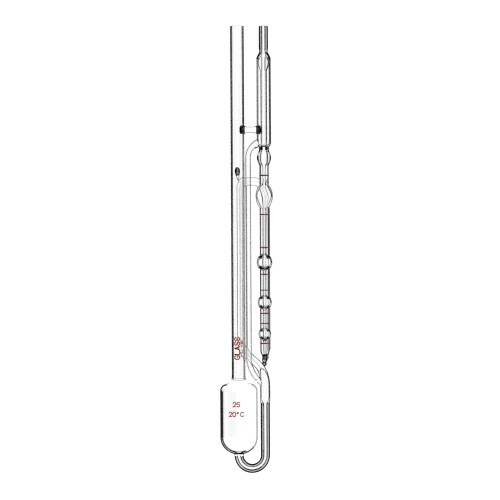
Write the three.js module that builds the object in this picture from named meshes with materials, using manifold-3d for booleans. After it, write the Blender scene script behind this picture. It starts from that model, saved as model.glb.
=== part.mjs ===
// Suspended-level capillary viscometer, fused from borosilicate glass tubing.
//
// A wide filling tube runs down into a cylindrical reservoir. A heavy-walled U-bend carries the
// liquid round and up a riser into the dome, where the measured column hangs. Above the dome
// stand five bulbs on one heavy-walled stem, an inner drop tube inside a vent jacket, and the
// nozzle. From the last bulb a capillary turns back on itself, climbs behind the bulbs, crosses
// over behind the filling tube and comes down into the top of the dome. A thin vent tube joins
// the dome to the jacket, and two glass braces stiffen the whole.
//
// Millimetres, +Z up, +X from the filling tube to the bulbs, +Y to the back. Shapes are given at
// their height above the foot, the lowest point of the U-bend, and one group then lowers them so
// that the origin is on the filling tube's axis, where a holder grips it.

import * as THREE from 'three';
import { mergeVertices } from 'three/addons/utils/BufferGeometryUtils.js';
import Module from 'manifold-3d';

const wasm = await Module();
wasm.setup();

// ---- Driving dimensions ---------------------------------------------------------------------

const GRIP_HEIGHT = 336;       // height of the holder's grip, and so of the origin, above the foot
const SEAM = 0.1;              // clearance left at each fused seam between two pieces
const TOP = 380.8;             // height of both open rims

const FILL = { radius: 6, wall: 1.15, low: 79.6, rimRounding: 0.3 };
const RESERVOIR = { radius: 16, wall: 1.5, capLow: 30.3, capDepth: 14.6, shoulder: 70.1, corner: 6 };
const COLLAR = { rise: 0.5, flare: 1.7, waistRise: 1.7, waist: 0.4 };   // reservoir's neck
const STEM = { radius: 4, bore: 0.95 };               // heavy-walled tubing between the bulbs
const WIDE_BORE = 1.3;                                // bore of the U-bend, the riser and the nozzle
const BEND = { radius: 11.25, height: 15.25 };        // centreline of the U-bend
const BULB_AXIS = 2 * BEND.radius;                    // X of the riser, dome, bulbs and nozzle

const DOME = { radius: 4.45, wall: 0.95, low: 57.4, lip: 1, full: 64.2, taper: 72, apex: 91.2 };
const DOME_ROUNDING = 1.8;
const DOME_KNEE = { x: BULB_AXIS - 1.5, y: 0.6, height: 86, radius: 3.4 };

const VENT = { radius: 2.6, wall: 0.8, x: 8.9, low: 98, high: 268 };
const JACKET = {
  radius: 6.3, wall: 1, low: 277.6, full: 282, shoulder: 352.3, neck: 358.3, throat: 360.3,
  baseBore: 3.4, neckBore: 3, rounding: 1.6,
};
const NOZZLE = { waist: 3.7, full: 361.2, rimRounding: 0.4 };
const INNER = { radius: 2.8, wall: 0.8, low: 277.6, high: 342 };
const INNER_COLLAR = { low: 342.1, mid: 349.8, high: 356.6, radius: 4.9, top: 2.6, bore: 1.25, port: 0.8 };
const SEAL = { radius: 4.3, bore: 1.8, low: 275.3, high: 277.5 };

// Outlines of the bulbs from the top down: lowest, widest and highest levels, outer radius there,
// the radius of the cavity inside, and how gently the outline eases into the stem.
const BULBS = [
  { name: 'prerun_bulb', low: 261.4, mid: 268.2, high: 275.2, radius: 6.2, cavity: 2.8, easing: 3 },
  { name: 'timing_bulb_1', low: 225.9, mid: 236.3, high: 245.1, radius: 7.45, cavity: 6.4, easing: 1.9 },
  { name: 'timing_bulb_2', low: 173.6, mid: 179.4, high: 185.4, radius: 6.8, cavity: 5.8, easing: 1.4 },
  { name: 'timing_bulb_3', low: 140.4, mid: 145.5, high: 150.1, radius: 6.1, cavity: 5.1, easing: 1.4 },
  { name: 'timing_bulb_4', low: 114.3, mid: 118.6, high: 122.2, radius: 5.5, cavity: 4.5, easing: 1.4 },
];
const FUNNEL = 1.8;            // the bore starts to open this far outside a bulb
const BORE_EASING = 3;         // the bore and the collar ease in as gently as this

const MARK_HEIGHTS = [253.6, 220.2, 192.0, 169.2, 155.8, 135.9, 127.4, 110.4];
const MARK = { height: 0.9, thickness: 0.15, lift: 0.02 };

const TAPER = { high: 103.6, low: 99, radius: 2.6, easing: 1.3 };   // foot of the bulb stem
const CAPILLARY = { radius: 3.6, bore: 0.25 };
const BACK_LEG = { x: BULB_AXIS + 1.3, y: 11.5, low: 101, full: 106 };
const FRONT_LEG = { x: 2.3, y: 11.5, low: 112 };
const RETURN_SIDE = BULB_AXIS - 1;   // X of the return bend where it passes behind the bead
const SUPPORT_BEAD = { x: BULB_AXIS - 0.4, y: 1.4, height: 91.6, radius: 2.1 };
const ARCH = { height: 248.8, rightBend: 12.5, leftBend: 6 };
const FOOT_CORNER = { height: 105.3, bend: 13.5 };

const FILL_BRACE = { height: 292.4, radius: 2.55, weld: 3.8, weldLip: 0.4, weldLength: 1.8, overlap: 1.5 };
const REAR_BRACE = {
  x: -0.9, y: 5, height: 258.4, radius: 2.5,
  tipX: 1.9, tipY: 10.2, tipHeight: 246.6, tipRadius: 1.4,
};
const CUT_REACH = 20;                // how far a cutting cylinder reaches beyond the piece it cuts

// Facets round a section, and steps along a sweep or up an outline.
const SIDES = { bore: 5, thin: 10, stem: 12, bulb: 16, reservoir: 24 };
const STEPS = { halfTurn: 16, vent: 12, foot: 16, returnBend: 16, arch: 26, bulb: 8, dome: 5 };

// ---- Materials --------------------------------------------------------------------------------

const glassMaterial = (name) => new THREE.MeshStandardMaterial({
  name, color: 0xe9f1f1, roughness: 0.05, metalness: 0, transparent: true, opacity: 0.35,
});
const enamelMaterial = (name) => new THREE.MeshStandardMaterial({
  name, color: 0xa83a1c, roughness: 0.55, metalness: 0,
});

// ---- Curves -----------------------------------------------------------------------------------

/** A circular arc that leaves `start` along the unit vector `along` and turns towards `inward`. */
class Arc extends THREE.Curve {
  constructor(start, along, inward, radius, angle) {
    super();
    Object.assign(this, { along, inward, radius, angle });
    this.centre = start.clone().addScaledVector(inward, radius);
  }

  getPoint(t, target = new THREE.Vector3()) {
    const turned = t * this.angle;
    return target.copy(this.centre)
      .addScaledVector(this.inward, -this.radius * Math.cos(turned))
      .addScaledVector(this.along, this.radius * Math.sin(turned));
  }

  getTangent(t, target = new THREE.Vector3()) {
    const turned = t * this.angle;
    return target.set(0, 0, 0)
      .addScaledVector(this.inward, Math.sin(turned))
      .addScaledVector(this.along, Math.cos(turned));
  }
}

/** Straight runs between points, with an arc of the given radius at each corner. */
function roundedRoute(points, bendRadii) {
  const route = new THREE.CurvePath();
  let from = points[0];
  bendRadii.forEach((radius, i) => {
    const corner = points[i + 1];
    const before = corner.clone().sub(points[i]).normalize();
    const after = points[i + 2].clone().sub(corner).normalize();
    const angle = before.angleTo(after);
    const cutBack = radius * Math.tan(angle / 2);
    const start = corner.clone().addScaledVector(before, -cutBack);
    const inward = after.clone().addScaledVector(before, -after.dot(before)).normalize();
    route.add(new THREE.LineCurve3(from, start));
    route.add(new Arc(start, before, inward, radius, angle));
    from = corner.clone().addScaledVector(after, cutBack);
  });
  route.add(new THREE.LineCurve3(from, points.at(-1)));
  return route;
}

// ---- Solids -----------------------------------------------------------------------------------

/** The closed surface of a three.js geometry as a solid, with its faces turned outwards. */
function solid(geometry) {
  const bare = geometry.index ? geometry.clone() : geometry;
  bare.deleteAttribute('normal');
  bare.deleteAttribute('uv');
  const merged = mergeVertices(bare, 1e-4);
  const corners = merged.attributes.position.array;
  const faces = [];
  let signedVolume = 0;
  for (let i = 0; i < merged.index.count; i += 3) {
    const face = [0, 1, 2].map((k) => merged.index.getX(i + k));
    if (new Set(face).size < 3) continue;
    const [a, b, c] = face.map((v) => new THREE.Vector3().fromArray(corners, 3 * v));
    signedVolume += a.dot(b.cross(c));
    faces.push(face);
  }
  if (signedVolume < 0) faces.forEach((face) => face.reverse());
  return new wasm.Manifold(new wasm.Mesh({
    numProp: 3,
    vertProperties: new Float32Array(corners),
    triVerts: new Uint32Array(faces.flat()),
  }));
}

/** The largest connected body of a solid, without the crumbs that a cut can leave. */
function mainBody(body) {
  return body.decompose().sort((a, b) => b.volume() - a.volume())[0];
}

/** Turns a profile of [radius, height] points about the vertical axis through (x, y). */
function turned(profile, sides, x = 0, y = 0) {
  const geometry = new THREE.LatheGeometry(profile.map(([r, h]) => new THREE.Vector2(r, h)), sides);
  geometry.rotateX(Math.PI / 2);
  geometry.translate(x, y, 0);
  return solid(geometry);
}

/** A hollow turned piece between an outer and an inner outline, both listed from the bottom up. */
function turnedShell(outer, inner, sides, x = 0, y = 0) {
  return turned([...outer, ...inner.toReversed(), outer[0]], sides, x, y);
}

/** A straight vertical tube. */
function uprightTube(radius, bore, low, high, sides, x = 0, y = 0) {
  return turnedShell([[radius, low], [radius, high]], [[bore, low], [bore, high]], sides, x, y);
}

/** A tube of one section swept along a curve. Without a bore it is a solid rod. */
function sweptTube(curve, radius, bore, steps, sides) {
  const circle = (r, count) => Array.from({ length: count }, (_, i) => {
    const angle = (2 * Math.PI * i) / count;
    return new THREE.Vector2(r * Math.cos(angle), r * Math.sin(angle));
  });
  const section = new THREE.Shape(circle(radius, sides));
  if (bore) section.holes.push(new THREE.Path(circle(bore, bore < 0.5 ? SIDES.bore : sides)));
  return solid(new THREE.ExtrudeGeometry(section, { steps, extrudePath: curve, bevelEnabled: false }));
}

/** A straight rod between two points, as a cylinder or a cone. */
function rod(from, to, fromRadius, toRadius, sides) {
  const along = to.clone().sub(from);
  const geometry = new THREE.CylinderGeometry(toRadius, fromRadius, along.length(), sides);
  const turn = new THREE.Quaternion().setFromUnitVectors(
    new THREE.Vector3(0, 1, 0), along.clone().normalize());
  geometry.applyQuaternion(turn);
  geometry.translate(...from.clone().add(to).divideScalar(2).toArray());
  return solid(geometry);
}

function ball({ x, y, height, radius }, sides) {
  const geometry = new THREE.SphereGeometry(radius, sides, sides / 2);
  geometry.translate(x, y, height);
  return solid(geometry);
}

/** Outline of a blown bulb from the bottom up: full at mid, and easing into its neck at each end. */
function bulbOutline({ low, mid, high, neckLow, neckHigh, radius, easing }, steps) {
  return Array.from({ length: steps + 1 }, (_, i) => {
    const angle = Math.PI * (i / steps - 0.5);
    const [neck, reach] = angle < 0 ? [neckLow, mid - low] : [neckHigh, high - mid];
    const fullness = Math.max(0, Math.cos(angle)) ** easing;
    return [neck + (radius - neck) * fullness, mid + reach * Math.sin(angle)];
  });
}

// ---- Pieces -----------------------------------------------------------------------------------

const glassware = new THREE.Group();

function addPiece(name, body, material = glassMaterial) {
  const { vertProperties, triVerts } = body.getMesh();
  const geometry = new THREE.BufferGeometry();
  geometry.setAttribute('position', new THREE.BufferAttribute(vertProperties, 3));
  geometry.setIndex(new THREE.BufferAttribute(triVerts, 1));
  geometry.computeVertexNormals();
  const mesh = new THREE.Mesh(geometry, material(name));
  mesh.name = name;
  glassware.add(mesh);
}

const at = (x, y, height) => new THREE.Vector3(x, y, height);
const DOWN = at(0, 0, -1);

/** Filling tube, with a fire-polished rim. */
function fillTube() {
  const { radius, wall, low, rimRounding } = FILL;
  const bore = radius - wall;
  const outer = [
    [radius, low + SEAM], [radius, TOP - 2 * rimRounding], [radius - rimRounding, TOP],
  ];
  const inner = [
    [bore, low + SEAM], [bore, TOP - 2 * rimRounding], [bore + rimRounding, TOP],
  ];
  return turnedShell(outer, inner, SIDES.bulb);
}

/** Outline of the reservoir: rounded base, straight wall, rounded shoulder and flared collar. */
function reservoirOutline(thickness, collarRadius, neckRadius) {
  const { radius, capLow, capDepth, shoulder, corner } = RESERVOIR;
  const r = radius - thickness;
  const depth = capDepth - thickness;
  const points = [[neckRadius, BEND.height + SEAM]];
  const baseSteps = 7;
  const start = Math.acos((neckRadius + 1) / r);
  for (let i = 0; i <= baseSteps; i += 1) {
    const angle = start * (1 - i / baseSteps);
    points.push([r * Math.cos(angle), capLow - depth * Math.sin(angle)]);
  }
  const cornerSteps = 4;
  for (let i = 0; i <= cornerSteps; i += 1) {
    const angle = (Math.PI / 2) * (i / cornerSteps);
    points.push([
      r - corner * (1 - Math.cos(angle)),
      shoulder + (corner - thickness) * Math.sin(angle),
    ]);
  }
  const shoulderTop = shoulder + corner - thickness;
  points.push([collarRadius + COLLAR.flare, shoulderTop + COLLAR.rise]);
  points.push([collarRadius + COLLAR.waist, shoulderTop + COLLAR.waistRise]);
  points.push([collarRadius, FILL.low]);
  return points;
}

function reservoir() {
  const outer = reservoirOutline(0, FILL.radius, STEM.radius);
  const inner = reservoirOutline(RESERVOIR.wall, FILL.radius - FILL.wall, WIDE_BORE);
  return turnedShell(outer, inner, SIDES.reservoir);
}

function uBend() {
  const start = at(0, 0, BEND.height);
  const halfTurn = new Arc(start, DOWN, at(1, 0, 0), BEND.radius, Math.PI);
  return sweptTube(halfTurn, STEM.radius, WIDE_BORE, STEPS.halfTurn, SIDES.stem);
}

/** Outline of the dome, from its foot up to where the rounding closes it at the apex. */
function domeOutline(footRadius, radius, low, lip, apex) {
  const { full, taper } = DOME;
  const points = [[0, low], [footRadius, low], [footRadius, lip], [radius, full]];
  for (let i = 0; i < STEPS.dome; i += 1) {
    const t = i / STEPS.dome;
    points.push([radius * (1 - t ** DOME_ROUNDING), taper + (apex - taper) * t]);
  }
  points.push([0, apex]);
  return points;
}

/** Outer form of the dome, swollen by a margin so that it can also cut its neighbours. */
function domeForm(margin) {
  const { radius, low, lip, apex } = DOME;
  const outline = domeOutline(STEM.radius + margin, radius + margin, low, low + lip, apex + margin);
  const knee = ball({ ...DOME_KNEE, radius: DOME_KNEE.radius + margin }, SIDES.stem);
  return turned(outline, SIDES.bulb, BULB_AXIS).add(knee);
}

function domeCavity() {
  const { radius, wall, low, lip, apex } = DOME;
  const outline = domeOutline(WIDE_BORE, radius - wall, low - lip, low + lip, apex - 2 * wall);
  const knee = ball({ ...DOME_KNEE, radius: DOME_KNEE.radius - wall }, SIDES.stem);
  return turned(outline, SIDES.bulb, BULB_AXIS).add(knee);
}

const kneeCentre = at(DOME_KNEE.x, DOME_KNEE.y, DOME_KNEE.height);

/** Slanting end of the capillary, from behind the filling tube into the dome. */
const footRoute = roundedRoute([
  at(FRONT_LEG.x, FRONT_LEG.y, FRONT_LEG.low),
  at(FRONT_LEG.x, FRONT_LEG.y, FOOT_CORNER.height),
  kneeCentre.clone().add(at(0, 0, 2)),
], [FOOT_CORNER.bend]);

/** Narrow turn from the foot of the bulb stem round to the capillary's back leg. */
const returnLow = at(RETURN_SIDE, 4.5, 93.5);
const returnRoute = new THREE.CurvePath();
returnRoute.add(new THREE.CubicBezierCurve3(
  at(BULB_AXIS, 0, TAPER.low), at(BULB_AXIS, 0, 96.5), at(RETURN_SIDE, 1, 94), returnLow));
returnRoute.add(new THREE.CubicBezierCurve3(
  returnLow, at(RETURN_SIDE, 8, 93),
  at(BACK_LEG.x, BACK_LEG.y, 95), at(BACK_LEG.x, BACK_LEG.y, BACK_LEG.low)));

/** Vent tube's lower end, swinging from the straight run into the side of the dome. */
const ventLowerRoute = new THREE.CubicBezierCurve3(
  at(VENT.x, 0, VENT.low), at(VENT.x, 0, 89.5), at(13.5, 0, 81.5), at(20.5, 0, 75.6));

/** Vent tube's upper end, swinging into the side of the jacket just above the ring seal. */
const ventUpperRoute = new THREE.CubicBezierCurve3(
  at(VENT.x, 0, VENT.high), at(VENT.x, 0, 276.5), at(13.5, 0, 280.5), at(18.5, 0, 283.4));

function dome() {
  const ventWay = sweptTube(ventLowerRoute, VENT.radius - VENT.wall, 0, STEPS.vent, SIDES.thin);
  const port = rod(footRoute.getPoint(0.9), kneeCentre, 2 * CAPILLARY.bore, 2 * CAPILLARY.bore, SIDES.bore);
  return mainBody(domeForm(0).subtract(domeCavity()).subtract(ventWay).subtract(port));
}

/** The slanting end as a plain rod, swollen by a margin, to cut its neighbours. */
function footForm(margin) {
  return sweptTube(footRoute, CAPILLARY.radius + margin, 0, STEPS.foot, SIDES.stem);
}

function capillaryFoot() {
  const tube = sweptTube(footRoute, CAPILLARY.radius, CAPILLARY.bore, STEPS.foot, SIDES.stem);
  return mainBody(tube.subtract(domeForm(SEAM)).subtract(returnForm(SEAM)));
}

function ventLowerBend() {
  const tube = sweptTube(ventLowerRoute, VENT.radius, VENT.radius - VENT.wall, STEPS.vent, SIDES.thin);
  return mainBody(tube.subtract(domeForm(SEAM)));
}

/** Outline of the jacket: rounded base, straight wall and domed shoulder up to the nozzle. */
function jacketOutline(thickness, baseRadius, neckRadius) {
  const { radius, low, full, shoulder, neck, rounding } = JACKET;
  const r = radius - thickness;
  const top = neck - thickness;
  const points = [];
  const baseSteps = 3;
  for (let i = 0; i <= baseSteps; i += 1) {
    const angle = (Math.PI / 2) * (i / baseSteps);
    points.push([
      baseRadius + (r - baseRadius) * Math.sin(angle),
      full - (full - low) * Math.cos(angle),
    ]);
  }
  const shoulderSteps = 4;
  for (let i = 0; i <= shoulderSteps; i += 1) {
    const t = i / shoulderSteps;
    points.push([neckRadius + (r - neckRadius) * (1 - t ** rounding), shoulder + (top - shoulder) * t]);
  }
  return points;
}

/** Everything inside the jacket's outer surface, swollen by a margin. */
function jacketForm(margin) {
  const outline = jacketOutline(-margin, SEAL.radius + margin, STEM.radius + margin);
  return turned([[0, JACKET.low], ...outline, [0, outline.at(-1)[1]]], SIDES.bulb, BULB_AXIS);
}

function ventJacket() {
  const { wall, neck, throat, baseBore, neckBore } = JACKET;
  const outer = [...jacketOutline(0, SEAL.radius, NOZZLE.waist), [NOZZLE.waist, throat]];
  const inner = [
    ...jacketOutline(wall, baseBore, neckBore), [WIDE_BORE, neck + wall / 2], [WIDE_BORE, throat],
  ];
  const shell = turnedShell(outer, inner, SIDES.bulb, BULB_AXIS);
  const ventWay = sweptTube(ventUpperRoute, VENT.radius - VENT.wall, 0, STEPS.vent, SIDES.thin);
  return mainBody(shell.subtract(ventWay));
}

function ventUpperBend() {
  const tube = sweptTube(ventUpperRoute, VENT.radius, VENT.radius - VENT.wall, STEPS.vent, SIDES.thin);
  return mainBody(tube.subtract(jacketForm(SEAM)));
}

/** Nozzle of heavy-walled tubing with a fire-polished rim. */
function nozzle() {
  const { radius } = STEM;
  const bore = WIDE_BORE;
  const { waist, full, rimRounding } = NOZZLE;
  const base = JACKET.throat + SEAM;
  const outer = [
    [waist, base], [radius, full], [radius, TOP - rimRounding], [radius - rimRounding, TOP],
  ];
  const inner = [
    [bore, base], [bore, TOP - rimRounding], [bore + rimRounding, TOP],
  ];
  return turnedShell(outer, inner, SIDES.stem, BULB_AXIS);
}

function innerTube() {
  const { radius, wall, low, high } = INNER;
  return uprightTube(radius, radius - wall, low, high, SIDES.stem, BULB_AXIS);
}

/** Thick collar that hangs the inner tube in the neck, with a vent port through its back. */
function innerCollar() {
  const { low, mid, high, radius, top, bore, port } = INNER_COLLAR;
  const shape = { low, mid, high, neckLow: INNER.radius, neckHigh: top, radius, easing: BORE_EASING };
  const way = [[INNER.radius - INNER.wall, low], [bore, low + bore], [bore, high]];
  const portWay = rod(at(BULB_AXIS, 0, mid), at(BULB_AXIS, 2 * radius, mid), port, port, SIDES.bore);
  const collar = turnedShell(bulbOutline(shape, STEPS.bulb), way, SIDES.stem, BULB_AXIS);
  return mainBody(collar.subtract(portWay));
}

function bulb({ low, mid, high, radius, cavity, easing }, index) {
  const first = index === 0;
  const shape = {
    low, mid, high, radius, easing,
    neckLow: STEM.radius, neckHigh: first ? SEAL.radius : STEM.radius,
  };
  const hollow = {
    low: low - FUNNEL, mid, high: first ? high : high + FUNNEL, radius: cavity, easing: BORE_EASING,
    neckLow: STEM.bore, neckHigh: first ? SEAL.bore : STEM.bore,
  };
  const outer = [[shape.neckLow, hollow.low], ...bulbOutline(shape, STEPS.bulb)];
  if (!first) outer.push([shape.neckHigh, hollow.high]);
  return turnedShell(outer, bulbOutline(hollow, STEPS.bulb), SIDES.bulb, BULB_AXIS);
}

/** The straight stem between one bulb and the next. */
function stem(upper, lower) {
  const low = lower.high + FUNNEL + SEAM;
  const high = upper.low - FUNNEL - SEAM;
  return uprightTube(STEM.radius, STEM.bore, low, high, SIDES.stem, BULB_AXIS);
}

/** The last stem, drawn down to the capillary's width. */
function taperedStem() {
  const { radius, low, high, easing } = TAPER;
  const top = BULBS.at(-1).low - FUNNEL - SEAM;
  const drawn = (STEM.radius - radius) / 5;
  const outer = [
    [radius, low + SEAM],
    [radius + drawn, low + easing],
    [STEM.radius - drawn, high - easing],
    [STEM.radius, high],
    [STEM.radius, top],
  ];
  const inner = [[CAPILLARY.bore, low + SEAM], [STEM.bore, high], [STEM.bore, top]];
  return turnedShell(outer, inner, SIDES.stem, BULB_AXIS);
}

/** The return bend as a plain rod, swollen by a margin, to cut its neighbours. */
function returnForm(margin) {
  return sweptTube(returnRoute, TAPER.radius + margin, 0, STEPS.returnBend, SIDES.thin);
}

function returnBend() {
  return sweptTube(returnRoute, TAPER.radius, CAPILLARY.bore, STEPS.returnBend, SIDES.thin);
}

/** Small bead that fuses the return bend to the top of the dome. */
function supportBead() {
  const bead = ball(SUPPORT_BEAD, SIDES.thin);
  const neighbours = [returnForm(SEAM), domeForm(SEAM), footForm(SEAM)];
  return mainBody(neighbours.reduce((left, form) => left.subtract(form), bead));
}

function backLeg() {
  const high = ARCH.height - ARCH.rightBend - SEAM;
  const outer = [
    [TAPER.radius, BACK_LEG.low + SEAM],
    [CAPILLARY.radius, BACK_LEG.full],
    [CAPILLARY.radius, high],
  ];
  const inner = [[CAPILLARY.bore, BACK_LEG.low + SEAM], [CAPILLARY.bore, high]];
  return turnedShell(outer, inner, SIDES.stem, BACK_LEG.x, BACK_LEG.y);
}

const archRoute = roundedRoute([
  at(BACK_LEG.x, BACK_LEG.y, ARCH.height - ARCH.rightBend - SEAM / 2),
  at(BACK_LEG.x, BACK_LEG.y, ARCH.height),
  at(FRONT_LEG.x, FRONT_LEG.y, ARCH.height),
  at(FRONT_LEG.x, FRONT_LEG.y, ARCH.height - ARCH.leftBend - SEAM / 2),
], [ARCH.rightBend, ARCH.leftBend]);

function capillaryArch() {
  return sweptTube(archRoute, CAPILLARY.radius, CAPILLARY.bore, STEPS.arch, SIDES.stem);
}

function capillaryLeg() {
  const high = ARCH.height - ARCH.leftBend - SEAM;
  return uprightTube(CAPILLARY.radius, CAPILLARY.bore, FRONT_LEG.low + SEAM, high,
    SIDES.stem, FRONT_LEG.x, FRONT_LEG.y);
}

/** A cylinder about the upright axis at x, to cut a brace where it meets a tube. */
function cutter(radius, x, height) {
  const low = height - CUT_REACH;
  const high = height + CUT_REACH;
  return turned([[0, low], [radius, low], [radius, high], [0, high]], SIDES.bulb, x);
}

/** Solid rod between the filling tube and the jacket, with a flared weld at each end. */
function fillBrace() {
  const { height, radius, weld, weldLip, weldLength, overlap } = FILL_BRACE;
  const left = FILL.radius;
  const right = BULB_AXIS - JACKET.radius;
  const profile = [
    [0, left - overlap], [weld, left - overlap], [weld, left + weldLip],
    [radius, left + weldLength], [radius, right - weldLength],
    [weld, right - weldLip], [weld, right + overlap], [0, right + overlap],
  ];
  const geometry = new THREE.LatheGeometry(profile.map(([r, x]) => new THREE.Vector2(r, x)), SIDES.stem);
  geometry.rotateZ(-Math.PI / 2);
  geometry.translate(0, 0, height);
  return mainBody(solid(geometry)
    .subtract(cutter(FILL.radius + SEAM, 0, height))
    .subtract(cutter(JACKET.radius + SEAM, BULB_AXIS, height)));
}

/** Tapered rod from the back of the filling tube down to the capillary's left-hand bend. */
function rearBrace() {
  const { x, y, height, radius, tipX, tipY, tipHeight, tipRadius } = REAR_BRACE;
  const bar = rod(at(x, y, height), at(tipX, tipY, tipHeight), radius, tipRadius, SIDES.thin);
  const bend = sweptTube(archRoute, CAPILLARY.radius + SEAM, 0, STEPS.arch, SIDES.stem);
  return mainBody(bar.subtract(cutter(FILL.radius + SEAM, 0, height)).subtract(bend));
}

function timingMark(height) {
  const inside = STEM.radius + MARK.lift;
  return uprightTube(inside + MARK.thickness, inside, height - MARK.height / 2,
    height + MARK.height / 2, SIDES.stem, BULB_AXIS);
}

// ---- Assembly ---------------------------------------------------------------------------------

addPiece('fill_tube', fillTube());
addPiece('reservoir', reservoir());
addPiece('u_bend', uBend());
addPiece('riser_tube', uprightTube(STEM.radius, WIDE_BORE, BEND.height + SEAM, DOME.low - SEAM,
  SIDES.stem, BULB_AXIS));
addPiece('suspended_level_dome', dome());

addPiece('vent_lower_bend', ventLowerBend());
addPiece('vent_tube', uprightTube(VENT.radius, VENT.radius - VENT.wall, VENT.low + SEAM,
  VENT.high - SEAM, SIDES.thin, VENT.x));
addPiece('vent_upper_bend', ventUpperBend());
addPiece('vent_jacket', ventJacket());
addPiece('nozzle', nozzle());
addPiece('inner_tube', innerTube());
addPiece('inner_collar', innerCollar());
addPiece('ring_seal', uprightTube(SEAL.radius, SEAL.bore, SEAL.low, SEAL.high, SIDES.bulb, BULB_AXIS));

BULBS.forEach((shape, i) => addPiece(shape.name, bulb(shape, i)));
BULBS.slice(1).forEach((lower, i) => addPiece(`bulb_stem_${i + 1}`, stem(BULBS[i], lower)));
addPiece('tapered_stem', taperedStem());
MARK_HEIGHTS.forEach((height, i) => {
  addPiece(`timing_mark_${i + 1}`, timingMark(height), enamelMaterial);
});

addPiece('return_bend', returnBend());
addPiece('support_bead', supportBead());
addPiece('capillary_back_leg', backLeg());
addPiece('capillary_arch', capillaryArch());
addPiece('capillary_front_leg', capillaryLeg());
addPiece('capillary_foot', capillaryFoot());

addPiece('fill_brace', fillBrace());
addPiece('rear_brace', rearBrace());

glassware.position.z = -GRIP_HEIGHT;
const viscometer = new THREE.Group();
viscometer.add(glassware);

export default viscometer;
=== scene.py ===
"""Looks of the suspended-level capillary viscometer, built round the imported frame.

Shapes are given in millimetres, at their height above the foot of the U-bend, and become metres in
the row frame as each mesh is made. The glass is one fused body, as the real one is: closed outer
forms are joined and closed hollows are cut out of them, so that no wall shows inside another.
"""
import math

import bmesh
import bpy
import numpy as np
from mathutils import Matrix, Vector, noise


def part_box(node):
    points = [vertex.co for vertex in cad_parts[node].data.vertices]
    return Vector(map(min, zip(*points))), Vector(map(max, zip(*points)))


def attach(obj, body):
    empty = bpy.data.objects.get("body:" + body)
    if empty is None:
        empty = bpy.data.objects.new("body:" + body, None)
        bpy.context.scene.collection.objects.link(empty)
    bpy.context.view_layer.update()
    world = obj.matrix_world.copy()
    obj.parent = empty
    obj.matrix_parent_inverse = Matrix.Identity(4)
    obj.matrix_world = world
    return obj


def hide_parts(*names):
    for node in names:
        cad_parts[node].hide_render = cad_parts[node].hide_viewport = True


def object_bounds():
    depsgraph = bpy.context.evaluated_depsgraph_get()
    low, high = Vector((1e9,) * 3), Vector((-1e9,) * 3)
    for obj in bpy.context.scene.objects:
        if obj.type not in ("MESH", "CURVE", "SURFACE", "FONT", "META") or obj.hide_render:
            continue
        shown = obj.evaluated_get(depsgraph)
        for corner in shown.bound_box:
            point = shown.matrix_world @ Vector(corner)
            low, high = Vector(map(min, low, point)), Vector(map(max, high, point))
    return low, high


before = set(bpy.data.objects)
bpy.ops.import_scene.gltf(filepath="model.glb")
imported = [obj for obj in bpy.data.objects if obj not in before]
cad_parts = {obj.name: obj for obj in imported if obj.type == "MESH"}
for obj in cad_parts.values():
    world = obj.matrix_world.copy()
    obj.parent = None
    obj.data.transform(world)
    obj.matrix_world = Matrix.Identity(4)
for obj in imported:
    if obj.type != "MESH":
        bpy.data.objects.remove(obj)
CAD_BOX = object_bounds()

# ---- Sizes, millimetres -------------------------------------------------------------------------

MM = 0.001
FOOT_Z = CAD_BOX[0].z


def cad_box(node):
    """Lowest and highest corner of a CAD node, in millimetres, with heights above the foot."""
    low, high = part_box(node)
    foot = Vector((0, 0, FOOT_Z))
    return (low - foot) / MM, (high - foot) / MM


def cad_radius(node):
    low, high = cad_box(node)
    return (high.x - low.x) / 2


TOP = cad_box("fill_tube")[1].z
BULB_AXIS = sum(corner.x for corner in cad_box("nozzle")) / 2

FILL = {"radius": cad_radius("fill_tube"), "bore": 4.85, "rim": 0.5}
RESERVOIR = {"radius": cad_radius("reservoir"), "wall": 1.5, "base": 14.5, "cap": 30.3, "depth": 14.6,
             "shoulder": 70.1, "corner": 6.0, "top": 80.0}
STEM = {"radius": cad_radius("nozzle"), "bore": 0.95, "rim": 0.7}
WIDE_BORE = 1.5                         # bore of the U-bend, riser and nozzle
BEND_HEIGHT = 15.25
DOME = {"radius": 4.45, "bore": 3.5, "low": 57.4, "full": 64.2, "top": 74.0}
VENT = {"radius": cad_radius("vent_tube"), "bore": 1.8, "x": 8.9, "low": 98.0, "high": 268.0}
JACKET = {"radius": 6.3, "bore": 5.3, "base": 277.6, "full": 282.0, "shoulder": 352.3, "neck": 358.3}
INNER = {"radius": 2.8, "bore": 2.0, "collar_low": 342.0, "collar": 349.8, "collar_radius": 4.9}
SEAL = {"radius": 4.3, "bore": 1.8, "low": 275.3, "high": 277.5}
PRERUN = {"low": 261.4, "mid": 268.6, "high": 275.2, "radius": 6.2, "bore": 2.8}
# Timing bulbs from the top down: lowest, widest and highest level, outer radius, radius of the
# hollow, and how gently the outline eases into the stem.
TIMING_BULBS = [
    (225.9, 236.3, 245.1, 7.45, 6.4, 1.6),
    (173.6, 179.4, 185.4, 6.8, 5.8, 1.4),
    (140.4, 145.5, 150.1, 6.1, 5.1, 1.4),
    (114.3, 118.6, 122.2, 5.5, 4.5, 1.4),
]
FUNNEL = 2.4                # the bore starts to open this far outside a bulb
BORE_EASING = 3.0
TAPER = {"high": 103.6, "low": 99.2, "radius": 2.4}
CAPILLARY = {"radius": 3.6, "bore": 0.3}
BACK_LEG = {"x": BULB_AXIS + 1.3, "y": 11.5, "low": 101.0, "full": 106.0, "high": 229.0}
FRONT_LEG = {"x": 2.3, "y": 11.5}
ARCH = {"height": 248.8, "left": 6.0, "right_x": 13.5, "pull_x": 20.5, "pull_height": 241.5}
FOOT_CORNER = {"height": 105.3, "bend": 13.5}
SLANT_END = (15.0, 4.2, 93.8)
RETURN_BEND = {"x": BULB_AXIS - 0.3, "y": 5.0, "height": 95.6}      # its lowest place, behind the bead
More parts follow.
